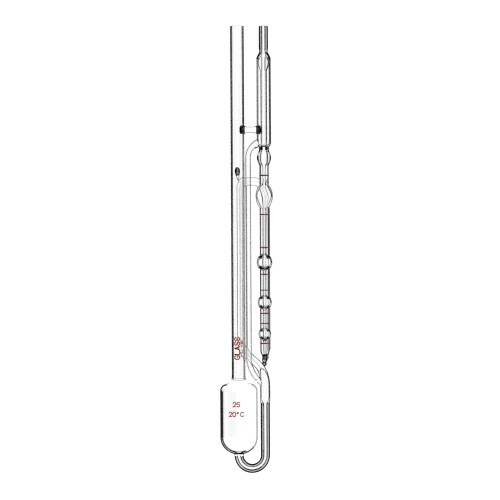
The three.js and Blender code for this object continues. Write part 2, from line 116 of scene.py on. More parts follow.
BEAD = {"centre": (BULB_AXIS - 0.6, 1.4, 92.8), "radius": 2.1}
FILL_BRACE = {"height": 292.4, "radius": 2.6, "weld": 4.3, "weld_length": 3.0}
REAR_BRACE = {"from": (-0.6, 3.5, 259.0), "to": (0.8, 10.4, 246.4), "radius": 2.4, "tip": 0.7}
BRACE_WELD_X = (4.6, BULB_AXIS - 4.2)       # middles of the fill brace's two welds
# Where a rod is welded on, the wall bulges inwards: centre and half sizes of each bulge.
# The glass over each bulge is also painted near-black as shade.
WELDS = {
    "fill": ((BRACE_WELD_X[0], 0, FILL_BRACE["height"]), (2.7, 3.0, 3.7)),
    "rear": ((-0.4, 5.0, 257.0), (2.9, 1.5, 3.7)),
    "jacket": ((BRACE_WELD_X[1], 0, FILL_BRACE["height"]), (1.9, 3.0, 3.7)),
}
WELD_LEVELS = [FILL_BRACE["height"] + 0.35 * i for i in range(-12, 13)]   # extra rings at its welds

STEP = 0.6              # longest step along a bend
RUN_UP = 5.0            # the long centreline starts and ends this far above the rims
LONG_SIDES = {"outside": 96, "inside": 64}
ROD_SIDES = 48
ENAMEL = {"lift": 0.02, "top": 0.12}        # an enamel mark's underside and top, above the glass


# ---- Centrelines ----------------------------------------------------------------------------------

class Route:
    """A centreline made of straight runs, arcs and Bezier bends, with a steady frame along it."""

    def __init__(self, start, heading):
        self.points = [Vector(start)]
        self.headings = [Vector(heading).normalized()]
        self.curved = [False]
        self.marks = {}
        self.length = 0.0

    def _add(self, point, heading, curved):
        self.length += (point - self.points[-1]).length
        self.points.append(point)
        self.headings.append(heading.normalized())
        self.curved.append(curved)

    def mark(self, name):
        """Remembers how far along the route this place is."""
        self.marks[name] = self.length
        return self

    def line(self, length):
        heading = self.headings[-1]
        self._add(self.points[-1] + heading * length, heading, False)
        return self

    def arc(self, radius, towards, degrees):
        start, along = self.points[-1].copy(), self.headings[-1].copy()
        inward = Vector(towards)
        inward = (inward - along * inward.dot(along)).normalized()
        centre = start + inward * radius
        angle = math.radians(degrees)
        steps = max(8, math.ceil(radius * angle / STEP))
        for i in range(1, steps + 1):
            turn = angle * i / steps
            point = centre - inward * radius * math.cos(turn) + along * radius * math.sin(turn)
            self._add(point, along * math.cos(turn) + inward * math.sin(turn), True)
        return self

    def bezier(self, first, second, end):
        a, b, c, d = self.points[-1].copy(), Vector(first), Vector(second), Vector(end)
        steps = max(8, math.ceil(((b - a).length + (c - b).length + (d - c).length) / STEP))
        for i in range(1, steps + 1):
            t = i / steps
            u = 1 - t
            point = a * u**3 + b * 3 * u * u * t + c * 3 * u * t * t + d * t**3
            heading = (b - a) * u * u + (c - b) * 2 * u * t + (d - c) * t * t
            self._add(point, heading, True)
        return self

    def settle(self):
        """Works out the distance along the route and the frame at each of its points."""
        self.distances = [0.0]
        for a, b in zip(self.points, self.points[1:]):
            self.distances.append(self.distances[-1] + (b - a).length)
        first = self.headings[0]
        side = first.orthogonal().normalized()
        self.sides = []
        for heading in self.headings:
            side = (side - heading * side.dot(heading)).normalized()
            self.sides.append(side)
        return self

    def frame(self, distance):
        """Point, side and second side of the route at a distance along it."""
        i = int(np.searchsorted(self.distances, distance)) - 1
        i = min(max(i, 0), len(self.points) - 2)
        t = (distance - self.distances[i]) / (self.distances[i + 1] - self.distances[i])
        point = self.points[i].lerp(self.points[i + 1], t)
        t = min(max(t, 0.0), 1.0)
        heading = self.headings[i].lerp(self.headings[i + 1], t).normalized()
        side = self.sides[i].lerp(self.sides[i + 1], t)
        side = (side - heading * side.dot(heading)).normalized()
        return point, side, heading.cross(side)

    def with_bends(self, outline):
        """The outline's (radius, distance) points, with one more wherever a bend has its own."""
        full = [outline[0]]
        for (r0, s0), (r1, s1) in zip(outline, outline[1:]):
            for s, curved in zip(self.distances, self.curved):
                if curved and s0 + 1e-3 < s < s1 - 1e-3:
                    full.append((r0 + (r1 - r0) * (s - s0) / (s1 - s0), s))
            full.append((r1, s1))
        return full


# ---- Meshes ---------------------------------------------------------------------------------------

def new_object(name, vertices, faces):
    mesh = bpy.data.meshes.new(name)
    mesh.from_pydata(vertices, [], faces)
    mesh.polygons.foreach_set("use_smooth", [True] * len(mesh.polygons))
    mesh.update()
    made = bpy.data.objects.new(name, mesh)
    bpy.context.scene.collection.objects.link(made)
    return made


def in_row_frame(point):
    """A place in millimetres above the foot, as metres in the row frame."""
    return Vector((point.x, point.y, point.z)) * MM + Vector((0, 0, FOOT_Z))


def swept(name, route, outline, sides):
    """A closed round form of changing radius along a route, from (radius, distance) points."""
    vertices, faces, rings = [], [], []
    for radius, distance in route.with_bends(outline):
        point, side, other = route.frame(distance)
        if radius <= 0:
            rings.append([len(vertices)])
            vertices.append(in_row_frame(point))
            continue
        ring = []
        for i in range(sides):
            angle = 2 * math.pi * i / sides
            offset = side * radius * math.cos(angle) + other * radius * math.sin(angle)
            ring.append(len(vertices))
            vertices.append(in_row_frame(point + offset))
        rings.append(ring)
    for a, b in zip(rings, rings[1:]):
        for i in range(sides):
            j = (i + 1) % sides
            if len(a) == 1:
                faces.append((a[0], b[j], b[i]))
            elif len(b) == 1:
                faces.append((a[i], a[j], b[0]))
            else:
                faces.append((a[i], a[j], b[j], b[i]))
    if len(rings[0]) > 1:
        faces.append(tuple(reversed(rings[0])))
    if len(rings[-1]) > 1:
        faces.append(tuple(rings[-1]))
    return outwards(new_object(name, vertices, faces))


def ring_faces(count, sides):
    """Faces round a closed ring of `count` loops of vertices, with `sides` vertices in each."""
    faces = []
    for k in range(count):
        n = (k + 1) % count
        for i in range(sides):
            j = (i + 1) % sides
            faces.append((k * sides + i, k * sides + j, n * sides + j, n * sides + i))
    return faces


def turned_ring(name, loop, sides, x):
    """A closed ring-shaped form: a loop of (radius, height) points turned about the axis at x."""
    vertices = []
    for radius, height in loop:
        for i in range(sides):
            angle = 2 * math.pi * i / sides
            point = Vector((x + radius * math.cos(angle), radius * math.sin(angle), height))
            vertices.append(in_row_frame(point))
    return outwards(new_object(name, vertices, ring_faces(len(loop), sides)))


def ball(name, centre, radius):
    """A round bead, to be fused with the glass or cut from it."""
    mesh = bpy.data.meshes.new(name)
    form = bmesh.new()
    bmesh.ops.create_icosphere(form, subdivisions=4, radius=radius * MM)
    bmesh.ops.translate(form, verts=form.verts, vec=in_row_frame(Vector(centre)))
    form.to_mesh(mesh)
    form.free()
    made = bpy.data.objects.new(name, mesh)
    bpy.context.scene.collection.objects.link(made)
    return made


def outwards(made):
    """Turns every face of a closed form to the outside."""
    form = bmesh.new()
    form.from_mesh(made.data)
    bmesh.ops.recalc_face_normals(form, faces=form.faces)
    form.to_mesh(made.data)
    form.free()
    return made


def combine(base, others, operation):
    """Joins the other forms to the base, or cuts them out of it, and removes them."""
    for other in others:
        change = base.modifiers.new("change", "BOOLEAN")
        change.object = other
        change.operation = operation
        change.solver = "MANIFOLD"
    graph = bpy.context.evaluated_depsgraph_get()
    result = bpy.data.meshes.new_from_object(base.evaluated_get(graph))
    base.modifiers.clear()
    base.data = result
    for other in others:
        bpy.data.objects.remove(other)
    return base


# ---- Outlines -------------------------------------------------------------------------------------

def quarter_round(radius, height, rounding, outside, steps=5):
    """A rim's rounded edge from the flat of the rim down to the wall, as (radius, height)."""
    sign = -1 if outside else 1
    points = []
    for i in range(steps + 1):
        angle = math.pi / 2 * i / steps
        points.append((radius + sign * rounding * (1 - math.sin(angle)),
                       height - rounding * (1 - math.cos(angle))))
    return points


def swelling(low, mid, high, radius, neck_low, neck_high, power=1.5, steps=32):
    """A gentle swelling from the bottom up: full at mid, easing into its neck at each end."""
    points = []
    for i in range(steps + 1):
        height = low + (high - low) * i / steps
        end, neck = (low, neck_low) if height < mid else (high, neck_high)
        t = (height - mid) / (end - mid)
        points.append((neck + (radius - neck) * max(0.0, 1 - t * t) ** power, height))
    return points


def bulb_outline(low, mid, high, radius, neck, easing, steps=36):
    """A blown bulb from the bottom up: full at mid, and easing into its stem at each end."""
    points = []
    for i in range(steps + 1):
        angle = math.pi * (i / steps - 0.5)
        reach = mid - low if angle < 0 else high - mid
        points.append((neck + (radius - neck) * max(0.0, math.cos(angle)) ** easing,
                       mid + reach * math.sin(angle)))
    return points


def smooth_through(points, steps=6):
    """A smooth curve through (radius, height) points, as a Catmull-Rom spline."""
    ends = [points[0], *points, points[-1]]
    curve = []
    for p0, p1, p2, p3 in zip(ends, ends[1:], ends[2:], ends[3:]):
        for i in range(steps):
            t = i / steps
            curve.append(tuple(
                0.5 * (2 * b + (c - a) * t + (2 * a - 5 * b + 4 * c - d) * t * t
                       + (3 * b - a - 3 * c + d) * t**3)
                for a, b, c, d in zip(p0, p1, p2, p3)))
    return [*curve, points[-1]]


def reservoir_outline(inset, tube_radius, neck_radius):
    """From the filling tube down over the shoulder, wall and round base to the U-bend."""
    r = RESERVOIR["radius"] - inset
    cap, depth = RESERVOIR["cap"], RESERVOIR["depth"] - inset
    shoulder, corner = RESERVOIR["shoulder"], RESERVOIR["corner"]
    flare = [(tube_radius + wider, height - inset)
             for wider, height in ((0, 83.0), (0.15, 81.0), (0.7, 79.7), (2.0, 78.4))]
    points = smooth_through([*flare, (r - corner, shoulder + corner - inset)])
    corner_steps, base_steps, outlet_steps = 12, 28, 6
    for i in range(1, corner_steps + 1):
        angle = math.pi / 2 * (1 - i / corner_steps)
        points.append((r - corner * (1 - math.cos(angle)), shoulder + (corner - inset) * math.sin(angle)))
    outlet_widening, outlet_height = 0.9, 1.2
    end = math.acos((neck_radius + outlet_widening) / r)
    for i in range(base_steps + 1):
        angle = end * i / base_steps
        points.append((r * math.cos(angle), cap - depth * math.sin(angle)))
    last_radius, last_height = points[-1]
    for i in range(1, outlet_steps + 1):
        t = i / outlet_steps
        points.append((neck_radius + (last_radius - neck_radius) * (1 - t) ** 2,
                       last_height - outlet_height * t))
    return points


def ease(t):
    """Rises from 0 to 1, level at both ends."""
    return 3 * t * t - 2 * t**3


def eased(first, last, start, end, steps=10):
    """(radius, distance) points that ease from one radius to another."""
    return [(first + (last - first) * ease(i / steps), start + (end - start) * i / steps)
            for i in range(steps + 1)]


# ---- The long tube, from the filling tube's rim to the nozzle's ---------------------------------------

def long_route():
    """Centreline of the one tube that everything hangs on, from one open rim to the other."""
    back, front = BACK_LEG, FRONT_LEG
    route = Route((0, 0, TOP + RUN_UP), (0, 0, -1))
    route.line(TOP + RUN_UP - BEND_HEIGHT)
    route.arc(BULB_AXIS / 2, (1, 0, 0), 180).mark("riser")
    route.line(DOME["top"] - BEND_HEIGHT).mark("dome")
    corner = Vector((front["x"], front["y"], FOOT_CORNER["height"]))
    slant_end = Vector(SLANT_END)
    slant = (corner - slant_end).normalized()
    route.bezier((BULB_AXIS, 0, 83), slant_end - slant * 7.75, slant_end).mark("slant")
    angle = slant.angle(Vector((0, 0, 1)))
    cut_back = FOOT_CORNER["bend"] * math.tan(angle / 2)
    route.line((corner - slant_end).length - cut_back)
    route.arc(FOOT_CORNER["bend"], (0, 0, 1), math.degrees(angle))
    route.line(ARCH["height"] - ARCH["left"] - corner.z - cut_back)
    route.arc(ARCH["left"], (1, 0, 0), 90)
    route.line(ARCH["right_x"] - front["x"] - ARCH["left"])
    route.bezier((ARCH["pull_x"], back["y"], ARCH["height"]), (back["x"], back["y"], ARCH["pull_height"]),
                 (back["x"], back["y"], back["high"]))
    route.line(back["high"] - back["full"]).mark("back_full")
    route.line(back["full"] - back["low"]).mark("back_low")
    side, middle, low = RETURN_BEND["x"], RETURN_BEND["y"], RETURN_BEND["height"]
    route.bezier((back["x"], back["y"], low + 2), (side, middle + 3, low), (side, middle, low))
    route.bezier((side, middle - 2.8, low), (BULB_AXIS, 0, low + 1), (BULB_AXIS, 0, TAPER["low"]))
    route.mark("bulbs")
    route.line(TOP + RUN_UP - TAPER["low"])
    return route.settle()


def jacket_outline(radius, base_radius, base, shoulder_top, neck_radius):
    """The jacket from its base up over the wall and shoulder to the neck."""
    full, shoulder = JACKET["full"], JACKET["shoulder"]
    points = []
    for i in range(13):
        angle = math.pi / 2 * i / 12
        points.append((base_radius + (radius - base_radius) * math.sin(angle),
                       full - (full - base) * math.cos(angle)))
    points += [(radius, h) for h in WELD_LEVELS]
    for i in range(17):
        t = i / 16
        points.append((neck_radius + (radius - neck_radius) * (1 - t**1.6),
                       shoulder + (shoulder_top - shoulder) * t))
    return points


def bulb_stack_outline():
    """Outside of everything above the capillary's return bend, from the bottom up."""
    radius = STEM["radius"]
    points = smooth_through([
        (TAPER["radius"], TAPER["low"] + 0.3), (TAPER["radius"] + 0.25, 100.2), (3.6, 101.9),
        (radius, TAPER["high"]),
    ])
    for low, mid, high, full, _, easing in reversed(TIMING_BULBS):
        points += bulb_outline(low, mid, high, full, radius, easing)
    points += swelling(PRERUN["low"], PRERUN["mid"], PRERUN["high"], PRERUN["radius"], radius,
                       SEAL["radius"])
    points += jacket_outline(JACKET["radius"], SEAL["radius"], JACKET["base"], JACKET["neck"],
                             radius - 0.3)
    points += smooth_through([(radius - 0.3, 359.2), (radius - 0.3, 360.3), (radius, 361.6)], 4)
    points += reversed(quarter_round(radius, TOP, STEM["rim"], True))
    return points


def bulb_stack_bore():
    """Inside of the bulb stack, from the capillary up through the inner tube and the nozzle."""
    bore = STEM["bore"]
    points = [(CAPILLARY["bore"], TAPER["low"] + 1.5), (bore, TAPER["high"] + 1)]
    for low, mid, high, _, hollow, _ in reversed(TIMING_BULBS):
        points += bulb_outline(low - FUNNEL, mid, high + FUNNEL, hollow, bore, BORE_EASING)
    points += swelling(PRERUN["low"] - 1.8, PRERUN["mid"], PRERUN["high"], PRERUN["bore"], bore,
                       SEAL["bore"])
    points += [(SEAL["bore"], SEAL["high"] - 1), (INNER["bore"], SEAL["high"] + 1)]
    points += smooth_through([(INNER["bore"], 355.5), (1.6, 357.8), (WIDE_BORE, 359.4)])
    points += reversed(quarter_round(WIDE_BORE, TOP, STEM["rim"], False))
    points += [(WIDE_BORE + STEM["rim"], TOP + 1)]
    return points


def long_tube():
    """The one long tube as two closed forms: its outside, and the hollow to cut from it."""
    route = long_route()
    marks = route.marks

    def down(points):
        return [(r, TOP + RUN_UP - h) for r, h in points]

    def riser(points):
        return [(r, marks["riser"] + h - BEND_HEIGHT) for r, h in points]

    def stack(points):
        return [(r, marks["bulbs"] + h - TAPER["low"]) for r, h in points]

    thick, thin = CAPILLARY["radius"], TAPER["radius"]
    outer = down(quarter_round(FILL["radius"], TOP, FILL["rim"], True))
    outer += down([(FILL["radius"], h) for h in reversed(WELD_LEVELS)])
    outer += down(reservoir_outline(0, FILL["radius"], STEM["radius"]))
    outer += riser(eased(STEM["radius"], DOME["radius"], DOME["low"], DOME["full"]))
    outer += eased(DOME["radius"], thick, marks["dome"] - 3, marks["slant"])
    outer += eased(thick, thin, marks["back_full"], marks["back_low"])
    outer += stack(bulb_stack_outline())

    fine = CAPILLARY["bore"]
    reach = marks["slant"] - marks["dome"]
    inner = [(FILL["bore"] + FILL["rim"], RUN_UP - 1)]
    inner += down(quarter_round(FILL["bore"], TOP, FILL["rim"], False))
    inner += down(reservoir_outline(RESERVOIR["wall"], FILL["bore"], WIDE_BORE))
    inner += riser(eased(WIDE_BORE, DOME["bore"], DOME["low"] - 1, DOME["full"]))
    inner += smooth_through([(DOME["bore"], marks["dome"])] + [
        (radius, marks["dome"] + reach * share)
        for radius, share in ((3.3, 0.28), (2.8, 0.46), (1.9, 0.60), (0.8, 0.68), (fine, 0.74))])
    inner += stack(bulb_stack_bore())
    return (swept("long_form", route, outer, LONG_SIDES["outside"]),
            swept("long_hollow", route, inner, LONG_SIDES["inside"]))


def jacket_hollow():
    """The space between the jacket and the inner tube, as a ring-shaped form."""
    wall = JACKET["radius"] - JACKET["bore"]
    outside = jacket_outline(JACKET["bore"], 3.4, JACKET["base"] + wall, JACKET["neck"] - wall, 3.0)
    low, mid, radius = INNER["collar_low"], INNER["collar"], INNER["collar_radius"]
    inside = [(INNER["radius"], JACKET["base"] + wall)]
    inside += swelling(low, mid, 2 * mid - low - 1, radius, INNER["radius"], 2.6, 1.5, 24)
    return turned_ring("jacket_hollow", outside + inside[::-1], LONG_SIDES["outside"], BULB_AXIS)


# ---- Vent, braces and bead ----------------------------------------------------------------------------

def vent():
    """The thin vent tube, from inside the dome up to inside the jacket's foot."""
    x = VENT["x"]
    start, second = Vector((20.5, 0, 75.6)), Vector((13.5, 0, 81.5))
    route = Route(start, second - start)
    route.bezier(second, (x, 0, 89.5), (x, 0, VENT["low"]))
    route.line(VENT["high"] - VENT["low"]).mark("upper")
    route.bezier((x, 0, 275.0), (12.0, 0, 278.8), (18.4, 0, 281.6))
    route.settle()
    flare = eased(VENT["radius"], VENT["radius"] + 1.2, route.length - 9, route.length - 1)
    wall = VENT["radius"] - VENT["bore"]
    bore = [(VENT["bore"], 0), *((r - wall, s) for r, s in flare)]
    form = swept("vent_form", route, [(VENT["radius"], 0), *flare], LONG_SIDES["inside"])
    return form, swept("vent_hollow", route, bore, LONG_SIDES["inside"])


def weld_boss(name, centre, size):
    """Where a rod is welded on, the tube's wall bulges inwards. This form is cut from its hollow."""
    boss = ball(name, (0, 0, 0), 1.0)
    shift = Matrix.Translation(in_row_frame(Vector(centre)))
    boss.data.transform(Matrix.Translation(-in_row_frame(Vector((0, 0, 0)))))
    boss.data.transform(shift @ Matrix.Diagonal((*size, 1)))
    return boss


def fill_brace():
    """Solid rod between the filling tube and the jacket, flared at its welds."""
    start, end = 3.4, BULB_AXIS - JACKET["radius"] + 2.2
    left, right = FILL["radius"], BULB_AXIS - JACKET["radius"]
    radius, weld, reach = FILL_BRACE["radius"], FILL_BRACE["weld"], FILL_BRACE["weld_length"]
    length, steps, overlap = end - start, 12, 0.6
    route = Route((start, 0, FILL_BRACE["height"]), (1, 0, 0)).line(length).settle()
    flare_start = left - start - overlap
    flare = [(weld, flare_start)]
    for i in range(1, steps + 1):
        t = i / steps
        flare.append((radius + (weld - radius) * (1 - t) ** 2.5, flare_start + (reach + overlap) * t))
    shift = (end - right) - (left - start)
    tail = [(r, length - (s + shift)) for r, s in reversed(flare)]
    return swept("fill_brace_form", route, [(weld, 0.0), *flare, *tail, (weld, length)], ROD_SIDES)


def rear_brace():
    """Solid rod that tapers from the filling tube's back to the capillary's arch."""
    start, end = Vector(REAR_BRACE["from"]), Vector(REAR_BRACE["to"])
    along = end - start
    route = Route(start, along).line(along.length).settle()
    outline = [(REAR_BRACE["radius"], 0), (REAR_BRACE["radius"] * 0.92, along.length * 0.3),
               (REAR_BRACE["tip"], along.length * 0.8), (REAR_BRACE["tip"], along.length)]
    return swept("rear_brace_form", route, outline, ROD_SIDES)


GLASS_NODES = [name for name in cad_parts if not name.startswith("timing_mark")]


def fused_glass():
    """All the glass as one body: the outer forms joined, and the hollows cut out of them."""
    glass, hollow = long_tube()
    vent_form, vent_hollow = vent()
    jacket_space = jacket_hollow()
    combine(hollow, [weld_boss("fill_weld", *WELDS["fill"]), weld_boss("rear_weld", *WELDS["rear"])],
            "DIFFERENCE")
    combine(jacket_space, [weld_boss("jacket_weld", *WELDS["jacket"])], "DIFFERENCE")
    bead = ball("bead", BEAD["centre"], BEAD["radius"])
    combine(glass, [vent_form, fill_brace(), rear_brace(), bead], "UNION")
    combine(glass, [hollow, jacket_space, vent_hollow], "DIFFERENCE")
    glass.name = "fused_glass"
    glass.data.set_sharp_from_angle(angle=math.radians(40))
    return glass


# ---- Materials ----------------------------------------------------------------------------------------

def new_material(name):
    material = bpy.data.materials.new(name)
    material.use_nodes = True
    tree = material.node_tree
    return material, tree, tree.nodes["Principled BSDF"]


def ramp_node(tree, stops):
    ramp = tree.nodes.new("ShaderNodeValToRGB")
    while len(ramp.color_ramp.elements) < len(stops):
        ramp.color_ramp.elements.new(0.5)
    for element, (place, colour) in zip(ramp.color_ramp.elements, stops):
        element.position = place
        element.color = (*colour, 1)
    return ramp


# Painted shade: how each kind of glass darkens in its colour from where it faces the eye (0) to its
# outline (1), as pairs of (how far it is turned away, how much light it lets through).
PAINTED_EDGE_SHADES = {
    "heavy": [(0.0, 1.0), (0.09, 1.0), (0.13, 0.35), (0.25, 0.25), (0.30, 0.0), (0.95, 0.0), (1.0, 0.02)],
    "stem": [(0.0, 1.0), (0.24, 0.97), (0.32, 0.05), (0.42, 0.0), (0.9, 0.0), (1.0, 0.1)],
    "thin": [(0.0, 1.0), (0.38, 0.97), (0.44, 0.0), (0.62, 0.0), (0.76, 0.2), (1.0, 0.5)],
    "soft": [(0.0, 1.0), (0.36, 0.97), (0.44, 0.20), (0.60, 0.12), (0.75, 0.4), (1.0, 0.8)],
    "bulb": [(0.0, 1.0), (0.44, 0.97), (0.58, 0.10), (0.80, 0.02), (1.0, 0.2)],
    "cap": [(0.0, 0.8), (0.20, 0.5), (0.32, 0.0), (0.9, 0.0), (1.0, 0.1)],
    "wide": [(0.0, 1.0), (0.54, 0.97), (0.63, 0.03), (0.68, 0.0), (0.95, 0.0), (1.0, 0.05)],
    "wide_low": [(0.0, 1.0), (0.54, 0.97), (0.64, 0.03), (0.68, 0.0), (0.95, 0.0), (1.0, 0.05)],
    "wide_soft": [(0.0, 1.0), (0.56, 0.97), (0.68, 0.12), (0.85, 0.06), (1.0, 0.2)],
    "tip": [(0.0, 0.35), (0.06, 0.1), (0.16, 0.0), (0.9, 0.0), (1.0, 0.02)],
    "weld": [(0.0, 0.02), (0.1, 0.0), (0.9, 0.0), (1.0, 0.02)],
    "petal": [(0.0, 1.0), (0.36, 0.97), (0.50, 0.05), (1.0, 0.3)],
    "crescent": [(0.0, 1.0), (0.26, 0.97), (0.36, 0.0), (1.0, 0.1)],
    "faint": [(0.0, 1.0), (0.9, 1.0), (1.0, 0.9)],
}
GLASS_IOR = 1.47
# Kinds for the places where light passes almost unbent.
THIN_IOR = {"wide_low": 1.08, "wide_soft": 1.08, "petal": 1.05, "crescent": 1.05, "faint": 1.01}

# Where the kinds of glass, and so their painted shade, change, in millimetres.
# Near-black painted shade on the glass at the fill brace's two welds.
PAINTED_WELD_SHADE = {"middles": (3.5, BRACE_WELD_X[1]), "half_width": 1.7, "half_height": 3.7}
NOZZLE_FOOT = JACKET["neck"] + 2.6
# Painted shade round the inner tube's collar, darker on the right than on the left.
COLLAR_PAINTED_SHADE = {"low": INNER["collar_low"] + 0.5, "high": 358.0, "inside": 2.2,
               "outside": INNER["collar_radius"] + 0.1}
# A near-black spot of painted shade at the seal.
SEAL_SHADE_SPOT = {"height": (SEAL["low"] + SEAL["high"]) / 2, "half_height": 1.2, "reach": 4.7}
PRERUN_BODY = 4.5           # half height of the pre-run bulb's body
# Painted shade darkens the ends of the small timing bulbs.
BULB_END_SHADE = {"from": 0.62, "opening": 1.6, "tallest": 15.0}
# Below this height the capillary's tip is painted dark as shade.
TIP_HEIGHT = TAPER["low"] + 2.2
# A thin near-black line of painted shade where the filling tube meets the reservoir.
FILL_FOOT_SHADE_LINE = {"height": 79.4, "half_height": 0.16}
MID_WALL = RESERVOIR["wall"] / 2
CROWN = {"radius": 13.2, "left": -9.5, "overlap": 0.5}
RESERVOIR_BASE_SHADE = {"inside": 6.0, "outside": 12.5}    # how far right the reservoir's painted shade round its base reaches
REAR_JOINT = {"right": 3.0, "front": 6.1, "back": 11.0, "low": 244.0, "high": 256.0, "clear": 3.7}


def painted_shade_glass_material(kind):
    """Clear glass with dark outlines of painted shade in its colour, and very faint waves in its surface.
    """
    material, tree, shader = new_material(f"clear_glass_{kind}")
    shader.inputs["Transmission Weight"].default_value = 1.0
    shader.inputs["IOR"].default_value = THIN_IOR.get(kind, GLASS_IOR)
    shader.inputs["Roughness"].default_value = 0.0
    # Painted shade: the more the surface turns from the eye, the darker the ramp makes its base colour.
    edge = tree.nodes.new("ShaderNodeLayerWeight")
    edge.inputs["Blend"].default_value = 0.5
    stops = [(place, (level, min(1, level * 1.02), min(1, level * 1.01)))
             for place, level in PAINTED_EDGE_SHADES[kind]]
    ramp = ramp_node(tree, stops)
    tree.links.new(edge.outputs["Facing"], ramp.inputs["Fac"])
    tree.links.new(ramp.outputs["Color"], shader.inputs["Base Color"])
    waves = tree.nodes.new("ShaderNodeTexNoise")
    waves.inputs["Scale"].default_value = 60.0
    bump = tree.nodes.new("ShaderNodeBump")
    bump.inputs["Strength"].default_value = 0.008
    bump.inputs["Distance"].default_value = 0.0005
    tree.links.new(waves.outputs["Fac"], bump.inputs["Height"])
    tree.links.new(bump.outputs["Normal"], shader.inputs["Normal"])
    return material


def on_painted_weld_shade(place):
    """Whether a place is on one of the near-black spots of painted shade where a rod is welded on."""
    x, _, h = place
    margin = 0.15
    for centre, half_sizes in WELDS.values():
        if sum(((p - c) / (size + margin)) ** 2 for p, c, size in zip(place, centre, half_sizes)) < 1:
            return True
    return any(((x - middle) / PAINTED_WELD_SHADE["half_width"]) ** 2
               + ((h - FILL_BRACE["height"]) / PAINTED_WELD_SHADE["half_height"]) ** 2 < 1
               for middle in PAINTED_WELD_SHADE["middles"])


def on_fill_brace(x, h):
    between = FILL["radius"] + 0.05 < x < BULB_AXIS - JACKET["radius"] - 0.05
    return between and abs(h - FILL_BRACE["height"]) < 5


def on_rear_joint(x, y, h):
    """Whether a place is where the rear brace meets the capillary's arch."""
    joint = REAR_JOINT
    off_capillary = math.hypot(x - FRONT_LEG["x"], y - FRONT_LEG["y"]) > joint["clear"]
    return (x < joint["right"] and joint["front"] < y < joint["back"]
            and joint["low"] < h < joint["high"] and off_capillary)


def timing_bulb_kind(x, h, low, mid, high):
    """Small bulbs get painted shade, dark at both ends, except where the bore opens into the top."""
    reach = high - mid if h > mid else mid - low
    at_end = abs(h - mid) > BULB_END_SHADE["from"] * reach
    in_opening = h >= mid and abs(x - BULB_AXIS) <= BULB_END_SHADE["opening"]
    if high - low < BULB_END_SHADE["tallest"] and at_end and not in_opening:
        return "cap"
    return "bulb"


def bulb_stack_kind(x, h, from_axis):
    """Kind of glass along the axis of the bulbs, above the dome, which sets its painted shade."""
    right = x > BULB_AXIS
    if h > NOZZLE_FOOT:
        return "heavy"
    collar = COLLAR_PAINTED_SHADE
    collar_edge = min(collar["outside"], collar["inside"] + collar["high"] - h)
    if h > collar["low"] and collar["inside"] < from_axis < collar_edge:
        # Painted shade round the collar: the right side darker than the left.
        return "crescent" if right else "petal"
    if h > JACKET["shoulder"]:
        return "stem"
    # A near-black spot of painted shade at the seal.
    if abs(h - SEAL_SHADE_SPOT["height"]) < SEAL_SHADE_SPOT["half_height"] and from_axis < SEAL_SHADE_SPOT["reach"]:
        return "weld" if abs(x - BULB_AXIS) > SEAL["bore"] else "stem"
    # Painted shade: the jacket's right side darker than its left.
    if h > JACKET["base"]:
        return "thin" if right else "soft"
    if h > PRERUN["low"] - 3:
        return "bulb" if abs(h - PRERUN["mid"]) < PRERUN_BODY else "stem"
    for low, mid, high, *_ in TIMING_BULBS:
        if low - 0.3 < h < high + 0.3:
            return timing_bulb_kind(x, h, low, mid, high)
    return "tip" if h < TIP_HEIGHT else "stem"


def reservoir_kind(x, h, from_axis):
    """The reservoir gets painted shade down its left side and round its base, and is nearly clear
    elsewhere.
    """
    cap, shoulder, corner = RESERVOIR["cap"], RESERVOIR["shoulder"], RESERVOIR["corner"]
    mid_radius, mid_depth = RESERVOIR["radius"] - MID_WALL, RESERVOIR["depth"] - MID_WALL
    # A thin near-black line of painted shade where the filling tube meets the reservoir.
    if abs(h - FILL_FOOT_SHADE_LINE["height"]) < FILL_FOOT_SHADE_LINE["half_height"]:
        return "weld"
    on_top = h > shoulder - CROWN["overlap"]
    crown = from_axis < CROWN["radius"] and x > CROWN["left"]
    from_corner = math.hypot(from_axis - (RESERVOIR["radius"] - corner), h - shoulder)
    if on_top and (crown or from_corner < corner - MID_WALL):
        return "faint"
    below = max(0, cap - h)
    hollow = math.hypot(from_axis / mid_radius, below / mid_depth) < 1
    if hollow and h < shoulder and x > (RESERVOIR_BASE_SHADE["inside"] if below else 0):
        return "faint"
    # Painted shade round the base and down the left side, darker than on the right.
    if x < RESERVOIR_BASE_SHADE["outside"] and h < cap or x < 0 and on_top:
        return "wide_low"
    return "wide" if x < 0 else "wide_soft"


def painted_shade_kind(place):
    """Which kind of glass, with its painted shade, the surface is at a place, in millimetres above the
    foot.
    """
    x, y, h = place
    from_fill = math.hypot(x, y)
    from_bulbs = math.hypot(x - BULB_AXIS, y)
    if on_fill_brace(x, h):
        return "petal"
    # Near-black painted shade at the welds.
    if on_painted_weld_shade(place):
        return "weld"
    # The bead is painted dark as shade.
    if math.dist(place, BEAD["centre"]) < BEAD["radius"] + 0.1:
        return "tip"
    if on_rear_joint(x, y, h):
        return "heavy"
    if h > 96.5 and (from_bulbs < 4.1 or h > 111 and y < 7.6 and from_bulbs < 8):
        return bulb_stack_kind(x, h, from_bulbs)
    if RESERVOIR["base"] < h < RESERVOIR["top"] and from_fill < 16.3 and x < 16.2:
        return reservoir_kind(x, h, from_fill)
    if h >= RESERVOIR["top"] and from_fill < 6.2:
        # Painted shade: the filling tube darker on its left side, and all round above 262 mm.
        return "thin" if x < 0 or h > 262 else "soft"
    if h < DOME["low"] + 2:
        return "heavy"
    # Painted shade: the dome's right side darker than its left.
    if h < 92 and from_bulbs < 6.5:
        return "thin" if x > BULB_AXIS else "soft"
    return "soft"


